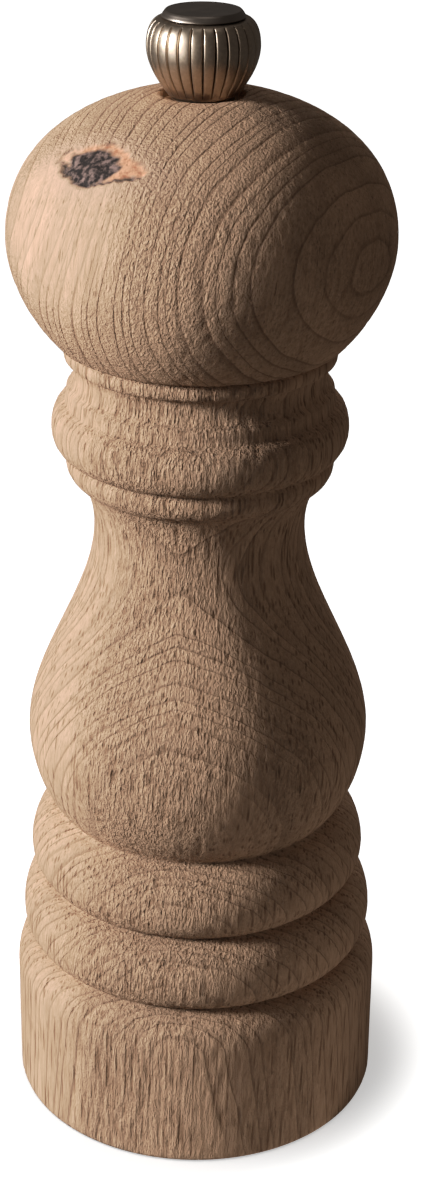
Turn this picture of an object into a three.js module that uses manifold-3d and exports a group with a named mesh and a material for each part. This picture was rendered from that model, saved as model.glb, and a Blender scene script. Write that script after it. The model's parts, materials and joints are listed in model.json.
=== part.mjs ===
// A hand pepper mill in turned beech with a ribbed metal adjusting knob. Millimetres, +Z up.
// The origin is the centre of the foot, so every turned piece shares the Z axis.
// Turning the head turns the square shaft and the grinding cone inside the fixed ring.
// Screwing the knob down pulls shaft and cone up against the spring, for a finer grind.

import * as THREE from 'three';
import { mergeVertices } from 'three/addons/utils/BufferGeometryUtils.js';
import Module from 'manifold-3d';

const wasm = await Module();
wasm.setup();

// Driving dimensions.
const FIT_GAP = 0.3;
const CUT_PAST = 1; // how far a cutting tool runs past the face it opens
const TURNED_SIDES = 40;
const SMALL_SIDES = 20;
const HOLE_SIDES = 12;
const CURVE_STEPS = 3;

const BASE_RADIUS = 30.1;
const BASE_WALL_TOP = 21.2;
const BASE_EDGE = 0.7;
const BELLY_RADIUS = 27.3;
const BELLY_Z = 66;
const NECK_RADIUS = 16.42;
const NECK_Z = 101.3;
const COLLAR_CREASE_Z = 113.4;
const COLLAR_RADIUS = 22.8;
const LIP_RADIUS = 20.8;
const BARREL_TOP = 130.8;
const CHAMBER_RADIUS = 12.75;
const MILL_BORE_RADIUS = 13.4;
const MILL_BORE_TOP = 28;
const RECESS_RADIUS = 19.5;
const RECESS_TOP = 4;

const HEAD_RADIUS = 29;
const HEAD_WIDEST_Z = 147;
const HEAD_UNDERSIDE = BARREL_TOP + FIT_GAP;
const HEAD_UNDERSIDE_RADIUS = 21.9;
const CROWN_Z = 168.05;
const CROWN_FLAT_RADIUS = 8.6;
const SEAT_RADIUS = 6.1;
const SEAT_Z = 166.85;
const SEAT_WASHER_HOLE_RADIUS = 3;
const SEAT_WASHER_RADIUS = 4.6;
const SPIGOT_RADIUS = 12.4;
const SPIGOT_BOTTOM = 118;
const SPIGOT_EDGE = 0.5;
const SHAFT_BORE_RADIUS = 4;

const SHAFT_WIDTH = 5;
const SHAFT_EDGE = 0.4;
const SHAFT_BOTTOM = 3.6;
const SQUARE_TOP = 159;
const THREAD_TOP = 174.5;
const THREAD_RADIUS = 2.45;
const THREAD_RUN_OUT = 2;
const THREAD_LEAD_IN = 0.8;
const SQUARE_HOLE = 5.6;

const RING_RADIUS = 13;
const RING_BOTTOM = 4;
const RING_TOP = 14.8;
const RING_TEETH = 24;
const RING_TOOTH_SWEEP = -0.5;
const RING_BOTTOM_CREST_RADIUS = 9.6;
const RING_TOP_CREST_RADIUS = 10;
const RING_TOOTH_DEPTH = 0.7;
const CONE_BOTTOM = 5;
const CONE_TOP = 15.7;
const CONE_BOTTOM_RADIUS = 9.2;
const CONE_TOP_RADIUS = 6.3;
const CONE_TEETH = 14;
const CONE_TOOTH_SWEEP = 0.9;
const CONE_BOTTOM_TOOTH_DEPTH = 0.6;
const CONE_TOP_TOOTH_DEPTH = 1.3;

const FLANGE_RADIUS = 19;
const FLANGE_HOLE_RADIUS = 11.4;
const FLANGE_THICKNESS = 0.9;
const FLANGE_SCREWS = 3;
const FLANGE_SCREW_CIRCLE = 16.6;
const SCREW_RADIUS = 1.1;
const SCREW_HOLE_RADIUS = 1.4;
const SCREW_HEAD_RADIUS = 2.2;
const SCREW_HEAD_HEIGHT = 1.1;
const SCREW_POINT_LENGTH = 2;
const FLANGE_SCREW_LENGTH = 8;

const BRIDGE_WIDTH = 6;
const BRIDGE_THICKNESS = 1.2;
const BRIDGE_TOP = 27.2;
const BRIDGE_BEND = 1;
const BRIDGE_LEG_OUTSIDE = 10.4;
const BRIDGE_FOOT_REACH = 12.8;
const BRIDGE_HOLE_RADIUS = 3.9;
const BRIDGE_BOSS_RADIUS = 6.4;
const RIVET_CIRCLE = 11.95;
const RIVET_RADIUS = 0.6;
const RIVET_HOLE_RADIUS = 0.9;
const RIVET_HEAD_RADIUS = 1.15;
const RIVET_DEPTH = 2.2;

const WASHER_HOLE_RADIUS = 3.7;
const WASHER_THICKNESS = 0.6;
const SPRING_WASHER_RADIUS = 6;
const STOP_WASHER_RADIUS = 5.6;
const STOP_WASHER_BOTTOM = 29;
const CLIP_RADIUS = 5.2;
const CLIP_HALF_OPENING = 0.45;
const SPRING_TOP = 24.7;
const SPRING_BOTTOM = 16.9;
const SPRING_RADIUS = 4.9;
const SPRING_WIRE_RADIUS = 0.55;
const SPRING_TURNS = 5;
const SPRING_STEPS_PER_TURN = 16;

const DRIVE_PLATE_RADIUS = 10.5;
const DRIVE_PLATE_THICKNESS = 1.4;
const DRIVE_SCREW_CIRCLE = 7.4;
const DRIVE_SCREW_LENGTH = 8;

const KNOB_BOTTOM = 167.8;
const KNOB_FOOT_RADIUS = 5;
const KNOB_RADIUS = 8.27;
const KNOB_WIDEST_Z = 175.1;
const KNOB_TOP = 178.75;
const KNOB_TOP_RADIUS = 6.4;
const KNOB_RIBS = 28;
const KNOB_RIB_DEPTH = 0.35;
const KNOB_BORE_RADIUS = 2.75;
const KNOB_BORE_TOP = 175.8;
const CAP_SOCKET_BOTTOM = 177;
const CAP_SOCKET_RADIUS = 3.3;
const CAP_RADIUS = 6.05;
const CAP_BEVEL = 0.6;
const CAP_TOP = 180;

// Shared makers.
const { lerp } = THREE.MathUtils;
const point = (r, z) => new THREE.Vector2(r, z);

// A body of revolution about Z from an outline of (radius, height), traced up the outside.
function turned(outline, sides = TURNED_SIDES) {
  const geometry = new THREE.LatheGeometry(outline, sides);
  return geometry.rotateX(Math.PI / 2);
}

// A round bar about Z between two heights.
function bar(r, bottom, top, sides = SMALL_SIDES) {
  const outline = [point(0, bottom), point(r, bottom), point(r, top), point(0, top)];
  return turned(outline, sides);
}

// A flat ring about Z.
function plate(hole, outside, bottom, top, sides = SMALL_SIDES) {
  const outline = [
    point(hole, bottom), point(outside, bottom), point(outside, top), point(hole, top), point(hole, bottom),
  ];
  return turned(outline, sides);
}

const washer = (outside, bottom) => plate(WASHER_HOLE_RADIUS, outside, bottom, bottom + WASHER_THICKNESS);

// A closed skin over a stack of equal rings of points, capped at both ends.
function lofted(rings) {
  const count = rings[0].length;
  const points = rings.flat();
  const faces = [];
  rings.slice(1).forEach((_, level) => {
    for (let i = 0; i < count; i++) {
      const low = level * count + i;
      const lowNext = level * count + (i + 1) % count;
      faces.push(low, lowNext, lowNext + count, low, lowNext + count, low + count);
    }
  });
  const first = points.length;
  points.push(new THREE.Vector3(0, 0, rings[0][0].z));
  const last = points.length;
  points.push(new THREE.Vector3(0, 0, rings.at(-1)[0].z));
  const topStart = (rings.length - 1) * count;
  for (let i = 0; i < count; i++) {
    const next = (i + 1) % count;
    faces.push(first, next, i, last, topStart + i, topStart + next);
  }
  const geometry = new THREE.BufferGeometry().setFromPoints(points);
  geometry.setIndex(faces);
  return geometry;
}

// A ring of points whose radius steps between crest and root, turned by a phase in radians.
function toothedRing(z, crest, root, teeth, pointsPerTooth, phase) {
  const count = teeth * pointsPerTooth;
  return Array.from({ length: count }, (_, i) => {
    const r = i % pointsPerTooth === 0 ? crest : root;
    const angle = phase + (i / count) * 2 * Math.PI;
    return new THREE.Vector3(r * Math.cos(angle), r * Math.sin(angle), z);
  });
}

function solid(geometry) {
  const bare = geometry.clone();
  bare.deleteAttribute('normal');
  bare.deleteAttribute('uv');
  const merged = mergeVertices(bare, 1e-4);
  const vertProperties = new Float32Array(merged.attributes.position.array);
  const triVerts = new Uint32Array(merged.index.array);
  return new wasm.Manifold(new wasm.Mesh({ numProp: 3, vertProperties, triVerts }));
}

function geometryOf(manifold) {
  const mesh = manifold.getMesh();
  const geometry = new THREE.BufferGeometry();
  geometry.setAttribute('position', new THREE.BufferAttribute(mesh.vertProperties, 3));
  geometry.setIndex(new THREE.BufferAttribute(mesh.triVerts, 1));
  geometry.computeVertexNormals();
  return geometry;
}

function cut(body, tools) {
  const left = tools.reduce((rest, tool) => rest.subtract(solid(tool)), solid(body));
  return geometryOf(left);
}

function joined(a, b) {
  return geometryOf(solid(a).add(solid(b)));
}

// Places on a circle about Z, as [x, y] pairs.
function around(count, circle, start = 0) {
  return Array.from({ length: count }, (_, i) => {
    const angle = start + (i / count) * 2 * Math.PI;
    return [circle * Math.cos(angle), circle * Math.sin(angle)];
  });
}

function holesAt(places, r, bottom, top) {
  return places.map(([x, y]) => bar(r, bottom, top, HOLE_SIDES).translate(x, y, 0));
}

function squareBar(width, bottom, top) {
  return new THREE.BoxGeometry(width, width, top - bottom).translate(0, 0, (bottom + top) / 2);
}

function material(color, roughness, metalness) {
  return new THREE.MeshStandardMaterial({ color, roughness, metalness });
}

const beech = () => material(0xc39f7c, 0.8, 0);
const darkNickel = () => material(0x4a4038, 0.3, 1);
const steel = () => material(0xa9a9a6, 0.35, 1);
const hardenedSteel = () => material(0x5b5a57, 0.45, 1);
const zincPlated = () => material(0xbdbcb4, 0.4, 1);

// The mill's places that more than one piece uses.
const flangeScrewPlaces = around(FLANGE_SCREWS, FLANGE_SCREW_CIRCLE, Math.PI / 2);
const driveScrewPlaces = around(2, DRIVE_SCREW_CIRCLE, Math.PI / 2);
const rivetPlaces = around(2, RIVET_CIRCLE);
const FLANGE_TOP = RECESS_TOP - FIT_GAP;
const FLANGE_BOTTOM = FLANGE_TOP - FLANGE_THICKNESS;
const DRIVE_PLATE_TOP = SPIGOT_BOTTOM - FIT_GAP;
const DRIVE_PLATE_BOTTOM = DRIVE_PLATE_TOP - DRIVE_PLATE_THICKNESS;
const BRIDGE_FOOT_BOTTOM = RING_TOP + FIT_GAP;
const BRIDGE_FOOT_TOP = BRIDGE_FOOT_BOTTOM + BRIDGE_THICKNESS;

// The barrel: plain foot, two beads, belly, neck, collar bead and lip, bored right through.
function barrelGeometry() {
  const outline = new THREE.Path();
  outline.moveTo(RECESS_RADIUS, 0);
  outline.lineTo(BASE_RADIUS - BASE_EDGE, 0);
  outline.lineTo(BASE_RADIUS, BASE_EDGE);
  outline.lineTo(BASE_RADIUS, BASE_WALL_TOP);
  outline.bezierCurveTo(BASE_RADIUS, 24, 28.9, 26.7, 26, 27.5);
  outline.bezierCurveTo(28, 28, 28.85, 30, 28.85, 32.3);
  outline.bezierCurveTo(28.85, 35.5, 27.6, 38.9, 24.4, 39.7);
  outline.bezierCurveTo(26.3, 40.3, 27.3, 42.4, 27.3, 44.4);
  outline.bezierCurveTo(27.3, 47.3, 25.6, 51.4, 22.6, 52.3);
  outline.bezierCurveTo(26, 56, BELLY_RADIUS, 62, BELLY_RADIUS, BELLY_Z);
  outline.bezierCurveTo(BELLY_RADIUS, BELLY_Z + 11.3, NECK_RADIUS, NECK_Z - 12.5, NECK_RADIUS, NECK_Z);
  outline.bezierCurveTo(NECK_RADIUS, 103.6, 17, 106.8, 18.5, 108.7);
  outline.bezierCurveTo(20.1, 109, 21.5, 111.6, 20.1, COLLAR_CREASE_Z);
  outline.bezierCurveTo(21.7, 113.5, COLLAR_RADIUS, 115.2, COLLAR_RADIUS, 117.3);
  outline.bezierCurveTo(COLLAR_RADIUS, 119.3, 22.2, 121, 20.7, 121.6);
  outline.lineTo(20.4, 123.6);
  outline.bezierCurveTo(19.3, 124, 18.9, 126.6, 19.4, 127.8);
  outline.bezierCurveTo(20, 128.3, LIP_RADIUS, 128, LIP_RADIUS, 129.4);
  outline.lineTo(LIP_RADIUS - 0.1, 130.3);
  outline.lineTo(LIP_RADIUS - 0.6, BARREL_TOP);
  outline.lineTo(CHAMBER_RADIUS, BARREL_TOP);
  outline.lineTo(CHAMBER_RADIUS, MILL_BORE_TOP);
  outline.lineTo(MILL_BORE_RADIUS, MILL_BORE_TOP);
  outline.lineTo(MILL_BORE_RADIUS, RECESS_TOP);
  outline.lineTo(RECESS_RADIUS, RECESS_TOP);
  outline.lineTo(RECESS_RADIUS, 0);
  const pilotTop = RECESS_TOP + FLANGE_SCREW_LENGTH;
  return cut(turned(outline.getPoints(CURVE_STEPS)), [
    ...holesAt(flangeScrewPlaces, SCREW_HOLE_RADIUS, RECESS_TOP - CUT_PAST, pilotTop),
  ]);
}

// The head: a spigot that fits the barrel's bore under a round crown, bored for the shaft and
// sunk round the bore for the knob's washer.
function headGeometry() {
  const outline = new THREE.Path();
  outline.moveTo(SHAFT_BORE_RADIUS, SPIGOT_BOTTOM);
  outline.lineTo(SPIGOT_RADIUS - SPIGOT_EDGE, SPIGOT_BOTTOM);
  outline.lineTo(SPIGOT_RADIUS, SPIGOT_BOTTOM + SPIGOT_EDGE);
  outline.lineTo(SPIGOT_RADIUS, HEAD_UNDERSIDE);
  outline.lineTo(HEAD_UNDERSIDE_RADIUS - 0.5, HEAD_UNDERSIDE);
  outline.lineTo(HEAD_UNDERSIDE_RADIUS, HEAD_UNDERSIDE + 0.3);
  outline.bezierCurveTo(25.6, 135.1, HEAD_RADIUS, 141.2, HEAD_RADIUS, HEAD_WIDEST_Z);
  outline.bezierCurveTo(HEAD_RADIUS, 154.5, 25.2, 164.1, CROWN_FLAT_RADIUS, CROWN_Z - 0.1);
  outline.lineTo(SEAT_RADIUS, CROWN_Z);
  outline.lineTo(SEAT_RADIUS, SEAT_Z);
  outline.lineTo(SHAFT_BORE_RADIUS, SEAT_Z);
  outline.lineTo(SHAFT_BORE_RADIUS, SPIGOT_BOTTOM);
  const pilotTop = SPIGOT_BOTTOM + DRIVE_SCREW_LENGTH;
  const pilots = holesAt(driveScrewPlaces, SCREW_HOLE_RADIUS, SPIGOT_BOTTOM - CUT_PAST, pilotTop);
  return cut(turned(outline.getPoints(2 * CURVE_STEPS)), pilots);
}

// The square shaft with its threaded upper end, drawn at the thread's outside.
function shaftGeometry() {
  const half = SHAFT_WIDTH / 2;
  const flat = half - SHAFT_EDGE;
  const section = new THREE.Shape();
  section.moveTo(half, -flat);
  section.lineTo(half, flat);
  section.lineTo(flat, half);
  section.lineTo(-flat, half);
  section.lineTo(-half, flat);
  section.lineTo(-half, -flat);
  section.lineTo(-flat, -half);
  section.lineTo(flat, -half);
  section.closePath();
  const depth = SQUARE_TOP - SHAFT_BOTTOM;
  const square = new THREE.ExtrudeGeometry(section, { depth, bevelEnabled: false });
  square.translate(0, 0, SHAFT_BOTTOM);
  const thread = turned([
    point(0, SQUARE_TOP - THREAD_RUN_OUT),
    point(THREAD_RADIUS, SQUARE_TOP - THREAD_RUN_OUT),
    point(THREAD_RADIUS, THREAD_TOP - THREAD_LEAD_IN),
    point(THREAD_RADIUS - THREAD_LEAD_IN, THREAD_TOP),
    point(0, THREAD_TOP),
  ], SMALL_SIDES);
  return joined(square, thread);
}

// The moving cone: slanting teeth that deepen towards the narrow upper end, on a square hole.
function coneGeometry() {
  const levels = 6;
  const rings = Array.from({ length: levels + 1 }, (_, i) => {
    const up = i / levels;
    const crest = lerp(CONE_BOTTOM_RADIUS, CONE_TOP_RADIUS, up);
    const depth = lerp(CONE_BOTTOM_TOOTH_DEPTH, CONE_TOP_TOOTH_DEPTH, up);
    const z = lerp(CONE_BOTTOM, CONE_TOP, up);
    return toothedRing(z, crest, crest - depth, CONE_TEETH, 3, CONE_TOOTH_SWEEP * up);
  });
  return cut(lofted(rings), [squareBar(SQUARE_HOLE, CONE_BOTTOM - CUT_PAST, CONE_TOP + CUT_PAST)]);
}

// The fixed ring: inward teeth slanting the other way, open at the top for the peppercorns.
function ringGeometry() {
  const levels = 4;
  const bottom = RING_BOTTOM - CUT_PAST;
  const top = RING_TOP + CUT_PAST;
  const rings = Array.from({ length: levels + 1 }, (_, i) => {
    const up = i / levels;
    const crest = lerp(RING_BOTTOM_CREST_RADIUS, RING_TOP_CREST_RADIUS, up);
    const z = lerp(bottom, top, up);
    return toothedRing(z, crest, crest + RING_TOOTH_DEPTH, RING_TEETH, 2, RING_TOOTH_SWEEP * up);
  });
  const rivetHoles = holesAt(rivetPlaces, RIVET_HOLE_RADIUS, RING_TOP - RIVET_DEPTH - FIT_GAP, top);
  return cut(bar(RING_RADIUS, RING_BOTTOM, RING_TOP, TURNED_SIDES), [lofted(rings), ...rivetHoles]);
}

// The plate that holds the ring up in the barrel.
function flangeGeometry() {
  const disc = plate(FLANGE_HOLE_RADIUS, FLANGE_RADIUS, FLANGE_BOTTOM, FLANGE_TOP, TURNED_SIDES);
  const bottom = FLANGE_BOTTOM - CUT_PAST;
  return cut(disc, holesAt(flangeScrewPlaces, SCREW_HOLE_RADIUS, bottom, FLANGE_TOP + CUT_PAST));
}

// The bridge: a bent strap across the ring that guides the shaft and carries the spring's push.
function bridgeGeometry() {
  const outside = BRIDGE_LEG_OUTSIDE;
  const inside = outside - BRIDGE_THICKNESS;
  const underside = BRIDGE_TOP - BRIDGE_THICKNESS;
  const strap = new THREE.Shape();
  strap.moveTo(inside, BRIDGE_FOOT_BOTTOM);
  strap.lineTo(BRIDGE_FOOT_REACH, BRIDGE_FOOT_BOTTOM);
  strap.lineTo(BRIDGE_FOOT_REACH, BRIDGE_FOOT_TOP);
  strap.lineTo(outside, BRIDGE_FOOT_TOP);
  strap.lineTo(outside, BRIDGE_TOP - BRIDGE_BEND);
  strap.lineTo(outside - BRIDGE_BEND, BRIDGE_TOP);
  strap.lineTo(BRIDGE_BEND - outside, BRIDGE_TOP);
  strap.lineTo(-outside, BRIDGE_TOP - BRIDGE_BEND);
  strap.lineTo(-outside, BRIDGE_FOOT_TOP);
  strap.lineTo(-BRIDGE_FOOT_REACH, BRIDGE_FOOT_TOP);
  strap.lineTo(-BRIDGE_FOOT_REACH, BRIDGE_FOOT_BOTTOM);
  strap.lineTo(-inside, BRIDGE_FOOT_BOTTOM);
  strap.lineTo(-inside, underside);
  strap.lineTo(inside, underside);
  strap.closePath();
  const body = new THREE.ExtrudeGeometry(strap, { depth: BRIDGE_WIDTH, bevelEnabled: false });
  body.rotateX(Math.PI / 2).translate(0, BRIDGE_WIDTH / 2, 0);
  const boss = bar(BRIDGE_BOSS_RADIUS, underside, BRIDGE_TOP);
  return cut(joined(body, boss), [
    bar(BRIDGE_HOLE_RADIUS, underside - CUT_PAST, BRIDGE_TOP + CUT_PAST),
    ...holesAt(rivetPlaces, RIVET_HOLE_RADIUS, BRIDGE_FOOT_BOTTOM - CUT_PAST, BRIDGE_FOOT_TOP + CUT_PAST),
  ]);
}

function rivetGeometry() {
  const seat = BRIDGE_FOOT_TOP + FIT_GAP;
  return turned([
    point(0, RING_TOP - RIVET_DEPTH),
    point(RIVET_RADIUS, RING_TOP - RIVET_DEPTH),
    point(RIVET_RADIUS, seat),
    point(RIVET_HEAD_RADIUS, seat),
    point(RIVET_HEAD_RADIUS * 0.8, seat + 0.5),
    point(0, seat + 0.7),
  ], 12);
}

// A wood screw that points up from under a plate: pan head below the seat, shank above it.
function screwGeometry(seat, length) {
  const crown = seat - SCREW_HEAD_HEIGHT;
  return turned([
    point(0, crown),
    point(SCREW_HEAD_RADIUS * 0.75, crown),
    point(SCREW_HEAD_RADIUS, crown + 0.5),
    point(SCREW_HEAD_RADIUS, seat),
    point(SCREW_RADIUS, seat),
    point(SCREW_RADIUS, seat + length - SCREW_POINT_LENGTH),
    point(0, seat + length),
  ], 16);
}

// The compression spring that keeps the cone down.
function springGeometry() {
  class Coil extends THREE.Curve {
    getPoint(t, target = new THREE.Vector3()) {
      const angle = t * SPRING_TURNS * 2 * Math.PI;
      const rise = SPRING_TOP - SPRING_BOTTOM - 2 * SPRING_WIRE_RADIUS;
      const z = SPRING_BOTTOM + SPRING_WIRE_RADIUS + rise * t;
      return target.set(SPRING_RADIUS * Math.cos(angle), SPRING_RADIUS * Math.sin(angle), z);
    }
  }
  const wire = new THREE.Shape();
  wire.absarc(0, 0, SPRING_WIRE_RADIUS, 0, 2 * Math.PI);
  return new THREE.ExtrudeGeometry(wire, {
    extrudePath: new Coil(),
    steps: SPRING_TURNS * SPRING_STEPS_PER_TURN,
    curveSegments: 3,
    bevelEnabled: false,
  });
}

// The split ring in the shaft's groove that the cone stands on.
function clipGeometry() {
  const first = CLIP_HALF_OPENING;
  const last = 2 * Math.PI - CLIP_HALF_OPENING;
  const ring = new THREE.Shape();
  ring.absarc(0, 0, CLIP_RADIUS, first, last, false);
  ring.absarc(0, 0, WASHER_HOLE_RADIUS, last, first, true);
  ring.closePath();
  const options = { depth: WASHER_THICKNESS, curveSegments: 10, bevelEnabled: false };
  const clip = new THREE.ExtrudeGeometry(ring, options);
  return clip.translate(0, 0, CONE_BOTTOM - FIT_GAP - WASHER_THICKNESS);
}

// The washer sunk in the crown that the knob turns on.
function seatWasherGeometry() {
  const bottom = SEAT_Z + FIT_GAP;
  const top = KNOB_BOTTOM - FIT_GAP;
  return plate(SEAT_WASHER_HOLE_RADIUS, SEAT_WASHER_RADIUS, bottom, top);
}

// The plate screwed under the spigot, whose square hole turns the shaft.
function drivePlateGeometry() {
  const bottom = DRIVE_PLATE_BOTTOM - CUT_PAST;
  const top = DRIVE_PLATE_TOP + CUT_PAST;
  return cut(bar(DRIVE_PLATE_RADIUS, DRIVE_PLATE_BOTTOM, DRIVE_PLATE_TOP, TURNED_SIDES), [
    squareBar(SQUARE_HOLE, bottom, top),
    ...holesAt(driveScrewPlaces, SCREW_HOLE_RADIUS, bottom, top),
  ]);
}

// The nut: a round pot with upright ribs, bored from below for the thread and from above for its cap.
function knobGeometry() {
  const side = new THREE.Path();
  side.moveTo(KNOB_FOOT_RADIUS, KNOB_BOTTOM);
  side.bezierCurveTo(6.6, 169.7, KNOB_RADIUS, 172.4, KNOB_RADIUS, KNOB_WIDEST_Z);
  side.bezierCurveTo(KNOB_RADIUS, 176.6, 7.75, 178.1, 6.9, KNOB_TOP - 0.1);
  side.lineTo(KNOB_TOP_RADIUS, KNOB_TOP);
  const outline = side.getPoints(2 * CURVE_STEPS);
  const plainRings = [0, outline.length - 2, outline.length - 1];
  const body = lofted(outline.map(({ x, y }, i) => {
    const depth = plainRings.includes(i) ? 0 : KNOB_RIB_DEPTH;
    return toothedRing(y, x, x - depth, KNOB_RIBS, 2, 0);
  }));
  return cut(body, [
    bar(KNOB_BORE_RADIUS, KNOB_BOTTOM - CUT_PAST, KNOB_BORE_TOP),
    bar(CAP_SOCKET_RADIUS, CAP_SOCKET_BOTTOM, KNOB_TOP + CUT_PAST),
  ]);
}

function capGeometry() {
  const underside = KNOB_TOP + FIT_GAP;
  return turned([
    point(0, CAP_SOCKET_BOTTOM + FIT_GAP),
    point(CAP_SOCKET_RADIUS - FIT_GAP, CAP_SOCKET_BOTTOM + FIT_GAP),
    point(CAP_SOCKET_RADIUS - FIT_GAP, underside),
    point(CAP_RADIUS, underside),
    point(CAP_RADIUS, CAP_TOP - CAP_BEVEL),
    point(CAP_RADIUS - CAP_BEVEL, CAP_TOP),
    point(0, CAP_TOP),
  ], TURNED_SIDES);
}

// Assembly, one group for each set of pieces that moves together.
const mill = new THREE.Group();

function place(group, name, geometry, look, x = 0, y = 0) {
  const mesh = new THREE.Mesh(geometry, look);
  mesh.name = name;
  mesh.position.set(x, y, 0);
  group.add(mesh);
}

function subassembly() {
  const group = new THREE.Group();
  mill.add(group);
  return group;
}

const stand = subassembly();
place(stand, 'barrel', barrelGeometry(), beech());
place(stand, 'grinding_ring', ringGeometry(), hardenedSteel());
place(stand, 'mechanism_flange', flangeGeometry(), zincPlated());
place(stand, 'bridge', bridgeGeometry(), zincPlated());
rivetPlaces.forEach(([x, y], i) => {
  place(stand, `bridge_rivet_${i + 1}`, rivetGeometry(), steel(), x, y);
});
flangeScrewPlaces.forEach(([x, y], i) => {
  const screw = screwGeometry(FLANGE_BOTTOM - FIT_GAP, FLANGE_SCREW_LENGTH);
  place(stand, `flange_screw_${i + 1}`, screw, zincPlated(), x, y);
});

const spring = subassembly();
place(spring, 'spring_upper_washer', washer(SPRING_WASHER_RADIUS, SPRING_TOP + FIT_GAP), steel());
place(spring, 'adjusting_spring', springGeometry(), steel());

const shaft = subassembly();
place(shaft, 'drive_shaft', shaftGeometry(), steel());
place(shaft, 'grinding_cone', coneGeometry(), hardenedSteel());
place(shaft, 'spring_lower_washer', washer(SPRING_WASHER_RADIUS, CONE_TOP + FIT_GAP), steel());
place(shaft, 'cone_retaining_clip', clipGeometry(), steel());
place(shaft, 'shaft_stop_washer', washer(STOP_WASHER_RADIUS, STOP_WASHER_BOTTOM), steel());

const top = subassembly();
place(top, 'head', headGeometry(), beech());
place(top, 'drive_plate', drivePlateGeometry(), zincPlated());
driveScrewPlaces.forEach(([x, y], i) => {
  const screw = screwGeometry(DRIVE_PLATE_BOTTOM - FIT_GAP, DRIVE_SCREW_LENGTH);
  place(top, `drive_plate_screw_${i + 1}`, screw, zincPlated(), x, y);
});
place(top, 'knob_seat_washer', seatWasherGeometry(), darkNickel());

const nut = subassembly();
place(nut, 'knob', knobGeometry(), darkNickel());
place(nut, 'knob_cap', capGeometry(), darkNickel());

export default mill;
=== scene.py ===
import itertools
import json
import math

import bmesh
import bpy
import numpy as np
from mathutils import Matrix, Vector


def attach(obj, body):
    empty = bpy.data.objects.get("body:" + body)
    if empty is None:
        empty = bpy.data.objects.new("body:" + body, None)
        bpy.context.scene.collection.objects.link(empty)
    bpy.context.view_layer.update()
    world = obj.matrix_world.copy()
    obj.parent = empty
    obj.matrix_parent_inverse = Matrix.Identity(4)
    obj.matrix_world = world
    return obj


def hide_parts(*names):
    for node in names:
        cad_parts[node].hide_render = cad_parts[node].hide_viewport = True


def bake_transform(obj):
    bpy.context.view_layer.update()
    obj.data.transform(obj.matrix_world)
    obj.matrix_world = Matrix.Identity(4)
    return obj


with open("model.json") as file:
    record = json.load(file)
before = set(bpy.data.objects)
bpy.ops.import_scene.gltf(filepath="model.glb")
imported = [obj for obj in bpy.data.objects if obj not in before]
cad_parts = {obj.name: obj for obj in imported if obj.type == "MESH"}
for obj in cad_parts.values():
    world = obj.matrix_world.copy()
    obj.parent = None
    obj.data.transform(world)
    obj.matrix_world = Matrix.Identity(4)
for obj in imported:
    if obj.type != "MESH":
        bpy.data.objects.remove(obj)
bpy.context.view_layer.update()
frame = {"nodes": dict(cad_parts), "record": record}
nodes = frame["nodes"]

MM = 0.001
TAU = 2 * math.pi
SEED_SHIFT = 17.3
CURVE_SAMPLES = 65

# ---------------------------------------------------------------- noise and numbers


def smoothstep(low, high, x):
    """From 0 at low to 1 at high, with level ends. Low may be the larger of the two."""
    t = np.clip((x - low) / (high - low), 0, 1)
    return t * t * (3 - 2 * t)


def value_noise(points, seed):
    """Smooth noise from -1 to 1 at each point, one lattice cell a unit, the same on every run."""
    cell = np.floor(points).astype(np.int64)
    part = points - cell
    part = part * part * (3 - 2 * part)
    total = np.zeros(len(points))
    for corner in itertools.product((0, 1), repeat=3):
        c = cell + np.array(corner)
        h = (c[:, 0] * 73856093) ^ (c[:, 1] * 19349663) ^ (c[:, 2] * 83492791) ^ (seed * 2654435761)
        h = ((h & 0xFFFFFFFF) ^ ((h & 0xFFFFFFFF) >> 15)) * 2246822519 & 0xFFFFFFFF
        h = (h ^ (h >> 13)) * 3266489917 & 0xFFFFFFFF
        h = h ^ (h >> 16)
        weight = np.prod(np.where(corner, part, 1 - part), axis=1)
        total += weight * (h & 0xFFFF) / 65535
    return 2 * total - 1


def grain_noise(points, across, along, seed):
    """Noise drawn out along Z: across and along are its cell sizes in the points' units."""
    return value_noise(points / np.array([across, across, along]) + SEED_SHIFT * seed, seed)


def patchy(points, across, along, seed):
    """Patches of 0 and 1 with soft edges, drawn out along Z."""
    return smoothstep(-0.5, 0.5, grain_noise(points, across, along, seed))


# ---------------------------------------------------------------- outlines of turned pieces

class Outline:
    """Points of (radius, height) in millimetres, sampled at an even step along lines and curves."""

    def __init__(self, r, z, step):
        self.points = [(r, z)]
        self.step = step

    def line(self, r, z):
        """A straight run to (r, z)."""
        start = np.array(self.points[-1])
        end = np.array([r, z])
        count = max(1, round(float(np.linalg.norm(end - start)) / self.step))
        self.points += [tuple(start + (end - start) * i / count) for i in range(1, count + 1)]

    def curve(self, r1, z1, r2, z2, r3, z3):
        """A cubic curve to (r3, z3), with (r1, z1) and (r2, z2) as its handles."""
        p = np.array([self.points[-1], (r1, z1), (r2, z2), (r3, z3)])
        t = np.linspace(0, 1, CURVE_SAMPLES)[:, None]
        fine = (1 - t) ** 3 * p[0] + 3 * (1 - t) ** 2 * t * p[1] + 3 * (1 - t) * t * t * p[2] + t ** 3 * p[3]
        length = np.concatenate([[0], np.cumsum(np.linalg.norm(np.diff(fine, axis=0), axis=1))])
        count = max(3, round(float(length[-1]) / self.step))
        at = np.linspace(0, length[-1], count + 1)[1:]
        r, z = (np.interp(at, length, fine[:, k]) for k in (0, 1))
        self.points += list(zip(r, z))


def unit(v):
    """Each row of v at length 1."""
    return v / np.maximum(np.linalg.norm(v, axis=1), 1e-9)[:, None]


def outline_normals(outline):
    """Outward normals of a closed outline traced up its outside."""
    ahead = np.roll(outline, -1, axis=0) - outline
    behind = outline - np.roll(outline, 1, axis=0)
    along = unit(unit(ahead) + unit(behind))
    return np.stack([along[:, 1], -along[:, 0]], axis=1)


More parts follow.
